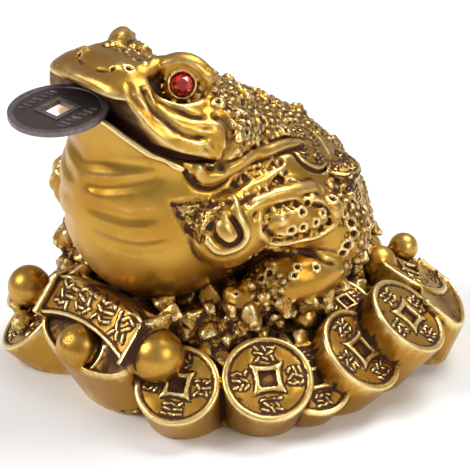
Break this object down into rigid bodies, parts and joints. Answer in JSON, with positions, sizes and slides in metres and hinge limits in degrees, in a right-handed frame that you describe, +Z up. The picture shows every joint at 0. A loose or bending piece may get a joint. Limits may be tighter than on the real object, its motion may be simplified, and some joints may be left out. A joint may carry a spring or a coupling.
{
  "type": "money toad figure",
  "caption": "Squatting toad on a heap of coins, ingots and pearls, with a loose square-holed coin in its mouth and a red stone in each eye.",
  "frame": {"origin": "on the flat underside, under the middle of the heap", "axes": "+Z up, the toad faces -Y, its left side is +X"},
  "size_m": [0.0903, 0.0989, 0.0759],
  "materials": {
    "casting": "cast resin under satin gold paint, with dark brown antiquing in the hollows",
    "coin": "dark gunmetal patina, worn lighter on the rim and the frame",
    "stones": "faceted red glass, flat back foiled"
  },
  "bodies": {
    "root": {"toad_and_treasure": "casting", "mouth_coin": "coin", "left_eye_stone": "stones", "right_eye_stone": "stones"}
  },
  "joints": []
}
